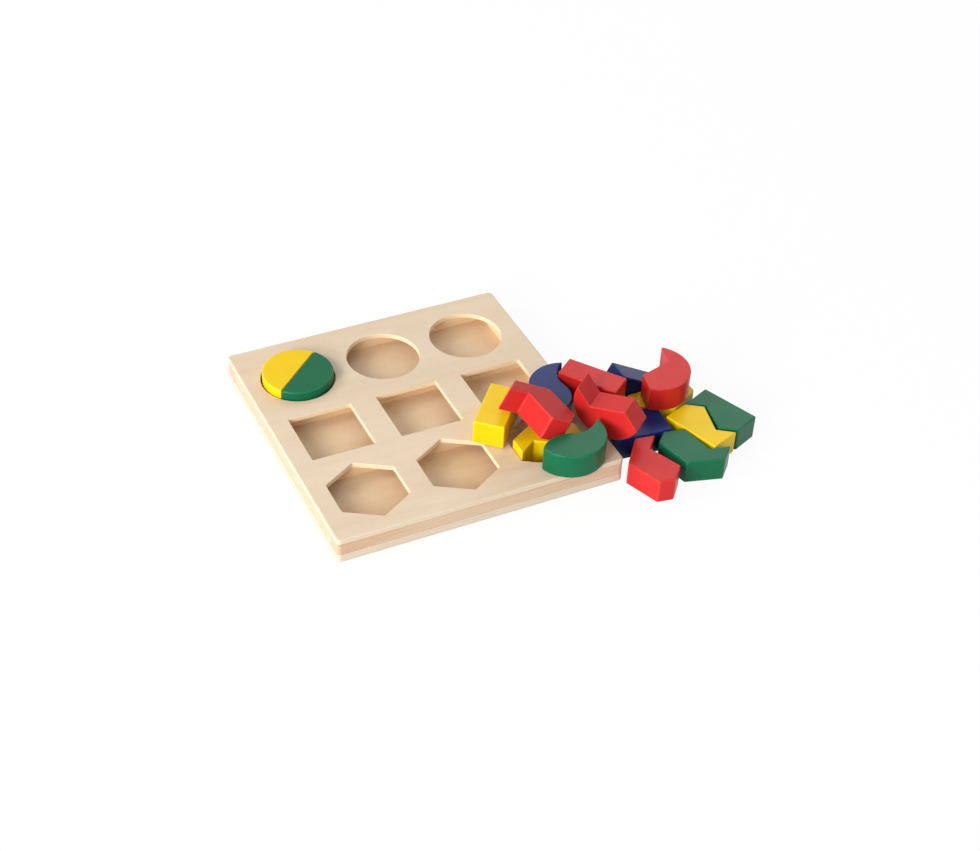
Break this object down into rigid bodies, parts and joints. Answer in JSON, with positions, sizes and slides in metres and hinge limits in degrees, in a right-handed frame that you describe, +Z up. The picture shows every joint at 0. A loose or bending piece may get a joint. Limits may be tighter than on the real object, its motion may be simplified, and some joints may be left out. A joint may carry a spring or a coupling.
{
  "type": "wooden shape puzzle",
  "caption": "Flat wooden tray with shaped recesses in rows, and loose half blocks of circles, squares and hexagons that pair up to fill them.",
  "frame": {"origin": "centre of the board's underside, on the surface that the toy stands on", "axes": "+X along the board's near edge to the right, +Y along its side away from the viewer, +Z up out of the openings"},
  "size_m": [0.4244, 0.3219, 0.0827],
  "materials": {
    "top_plywood": "satin clear lacquer over pale plywood",
    "base_plywood": "satin clear lacquer over pale plywood",
    "rail_wood": "sanded wood with a clear lacquer",
    "yellow_paint": "satin yellow paint on wood",
    "green_paint": "satin green paint on wood",
    "red_paint": "satin red paint on wood",
    "blue_paint": "satin dark blue paint on wood"
  },
  "bodies": {
    "board": {"base_plate": "base_plywood", "top_plate": "top_plywood", "rail_front": "rail_wood", "rail_back": "rail_wood", "rail_left": "rail_wood", "rail_right": "rail_wood", "divider_front": "rail_wood", "divider_back": "rail_wood"},
    "circle_straight_yellow": {"circle_straight_yellow": "yellow_paint"},
    "circle_straight_green": {"circle_straight_green": "green_paint"},
    "hexagon_zigzag_yellow": {"hexagon_zigzag_yellow": "yellow_paint"},
    "square_straight_yellow": {"square_straight_yellow": "yellow_paint"},
    "circle_wave_green": {"circle_wave_green": "green_paint"},
    "circle_wave_blue": {"circle_wave_blue": "blue_paint"},
    "hexagon_zigzag_red_back": {"hexagon_zigzag_red_back": "red_paint"},
    "square_straight_red": {"square_straight_red": "red_paint"},
    "circle_zigzag_red_standing": {"circle_zigzag_red_standing": "red_paint"},
    "square_zigzag_green": {"square_zigzag_green": "green_paint"},
    "square_zigzag_yellow": {"square_zigzag_yellow": "yellow_paint"},
    "hexagon_zigzag_green": {"hexagon_zigzag_green": "green_paint"},
    "hexagon_zigzag_red_front": {"hexagon_zigzag_red_front": "red_paint"},
    "square_wave_blue_front": {"square_wave_blue_front": "blue_paint"},
    "square_wave_blue_back": {"square_wave_blue_back": "blue_paint"},
    "hexagon_straight_yellow": {"hexagon_straight_yellow": "yellow_paint"},
    "circle_zigzag_red_top": {"circle_zigzag_red_top": "red_paint"},
    "hexagon_straight_blue": {"hexagon_straight_blue": "blue_paint"}
  },
  "joints": [
    {"name": "lift_circle_straight_yellow", "type": "slide", "parent": "board", "child": "circle_straight_yellow", "axis": [0, 0, 1], "range_m": [0, 0.12]},
    {"name": "lift_circle_straight_green", "type": "slide", "parent": "board", "child": "circle_straight_green", "axis": [0, 0, 1], "range_m": [0, 0.12]},
    {"name": "lift_hexagon_zigzag_yellow", "type": "slide", "parent": "board", "child": "hexagon_zigzag_yellow", "axis": [0, 0, 1], "range_m": [0, 0.12]},
    {"name": "lift_hexagon_zigzag_red_back", "type": "slide", "parent": "hexagon_zigzag_yellow", "child": "hexagon_zigzag_red_back", "axis": [0, 0, 1], "range_m": [0, 0.12]},
    {"name": "slide_square_straight_yellow", "type": "slide", "parent": "board", "child": "square_straight_yellow", "axis": [-1, 0, 0], "range_m": [0, 0.25]},
    {"name": "slide_circle_wave_green", "type": "slide", "parent": "board", "child": "circle_wave_green", "axis": [0, -1, 0], "range_m": [0, 0.12]},
    {"name": "slide_circle_wave_blue", "type": "slide", "parent": "board", "child": "circle_wave_blue", "axis": [-0.34, 0.9404, 0], "range_m": [0, 0.25]},
    {"name": "lift_square_wave_blue_back", "type": "slide", "parent": "board", "child": "square_wave_blue_back", "axis": [0, 0, 1], "range_m": [0, 0.12]},
    {"name": "lift_square_straight_red", "type": "slide", "parent": "square_wave_blue_back", "child": "square_straight_red", "axis": [0, 0, 1], "range_m": [0, 0.12]},
    {"name": "lift_square_wave_blue_front", "type": "slide", "parent": "board", "child": "square_wave_blue_front", "axis": [0, 0, 1], "range_m": [0, 0.12]},
    {"name": "lift_circle_zigzag_red_standing", "type": "slide", "parent": "square_wave_blue_front", "child": "circle_zigzag_red_standing", "axis": [0, 0, 1], "range_m": [0, 0.12]},
    {"name": "lift_circle_zigzag_red_top", "type": "slide", "parent": "square_wave_blue_front", "child": "circle_zigzag_red_top", "axis": [0, 0, 1], "range_m": [0, 0.12]},
    {"name": "lift_square_zigzag_green", "type": "slide", "parent": "board", "child": "square_zigzag_green", "axis": [0, 0, 1], "range_m": [0, 0.12]},
    {"name": "lift_square_zigzag_yellow", "type": "slide", "parent": "board", "child": "square_zigzag_yellow", "axis": [0, 0, 1], "range_m": [0, 0.12]},
    {"name": "lift_hexagon_zigzag_green", "type": "slide", "parent": "board", "child": "hexagon_zigzag_green", "axis": [0, 0, 1], "range_m": [0, 0.12]},
    {"name": "slide_hexagon_zigzag_red_front", "type": "slide", "parent": "board", "child": "hexagon_zigzag_red_front", "axis": [0, -1, 0], "range_m": [0, 0.15]},
    {"name": "slide_hexagon_straight_yellow", "type": "slide", "parent": "board", "child": "hexagon_straight_yellow", "axis": [0.3, 0.9539, 0], "range_m": [0, 0.2]},
    {"name": "slide_hexagon_straight_blue", "type": "slide", "parent": "hexagon_straight_yellow", "child": "hexagon_straight_blue", "axis": [0.3, 0.9539, 0], "range_m": [0, 0.2]}
  ]
}
